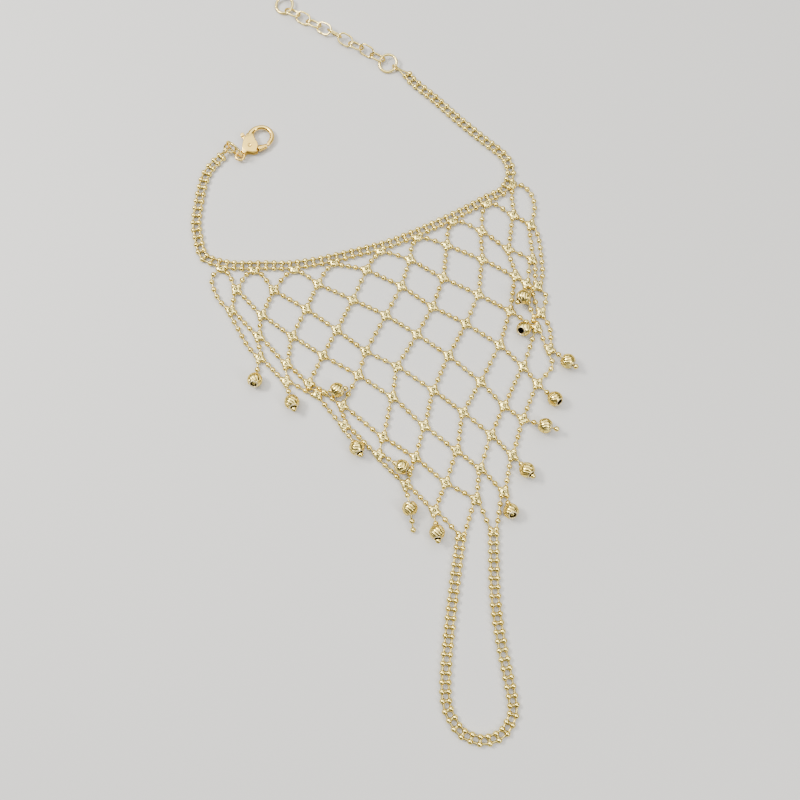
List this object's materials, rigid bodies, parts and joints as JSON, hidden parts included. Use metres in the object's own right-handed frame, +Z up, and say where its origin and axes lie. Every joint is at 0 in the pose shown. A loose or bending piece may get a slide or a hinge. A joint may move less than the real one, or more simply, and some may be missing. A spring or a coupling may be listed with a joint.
{
  "type": "hand chain",
  "caption": "Flat-laid hand chain: two-row ball chain wrist band, diamond net of ball chain, finger loop, cut beads, lobster clasp and extender.",
  "frame": {"origin": "middle of the flat chain's outline, on the surface it lies on", "axes": "+Z up from the surface, +Y from the finger loop towards the wrist band, +X towards the band's extender side"},
  "size_m": [0.0877, 0.1747, 0.0049],
  "materials": {
    "ball_gold": "polished pale gold plating",
    "net_gold": "polished pale gold plating with soft solder",
    "cut_gold": "bright-cut pale gold plating",
    "clasp_gold": "tumbled pale gold plating",
    "wire_gold": "polished pale gold plating"
  },
  "bodies": {
    "hand_chain": {"wrist_band": "ball_gold", "net": "net_gold", "finger_loop": "ball_gold", "cut_bead_01": "cut_gold", "cut_bead_02": "cut_gold", "cut_bead_03": "cut_gold", "cut_bead_04": "cut_gold", "cut_bead_05": "cut_gold", "cut_bead_06": "cut_gold", "cut_bead_07": "cut_gold", "cut_bead_08": "cut_gold", "cut_bead_09": "cut_gold", "cut_bead_10": "cut_gold", "cut_bead_11": "cut_gold", "cut_bead_12": "cut_gold", "cut_bead_13": "cut_gold", "cut_bead_14": "cut_gold", "clasp_body": "clasp_gold", "clasp_ring": "wire_gold", "band_ring": "wire_gold", "extender_ring": "wire_gold", "link_01": "wire_gold", "link_02": "wire_gold", "link_03": "wire_gold", "link_04": "wire_gold", "link_05": "wire_gold", "link_06": "wire_gold", "link_07": "wire_gold", "link_08": "wire_gold", "link_09": "wire_gold", "end_ring": "wire_gold"},
    "lever": {"clasp_lever": "clasp_gold"}
  },
  "joints": [
    {"name": "lever_hinge", "type": "hinge", "parent": "hand_chain", "child": "lever", "pos_m": [-0.03049, 0.04578, 0.001], "axis": [0, 0, 1], "range_deg": [0, 25], "stiffness_Nm_per_rad": 0.004, "springref_deg": -17.19}
  ]
}
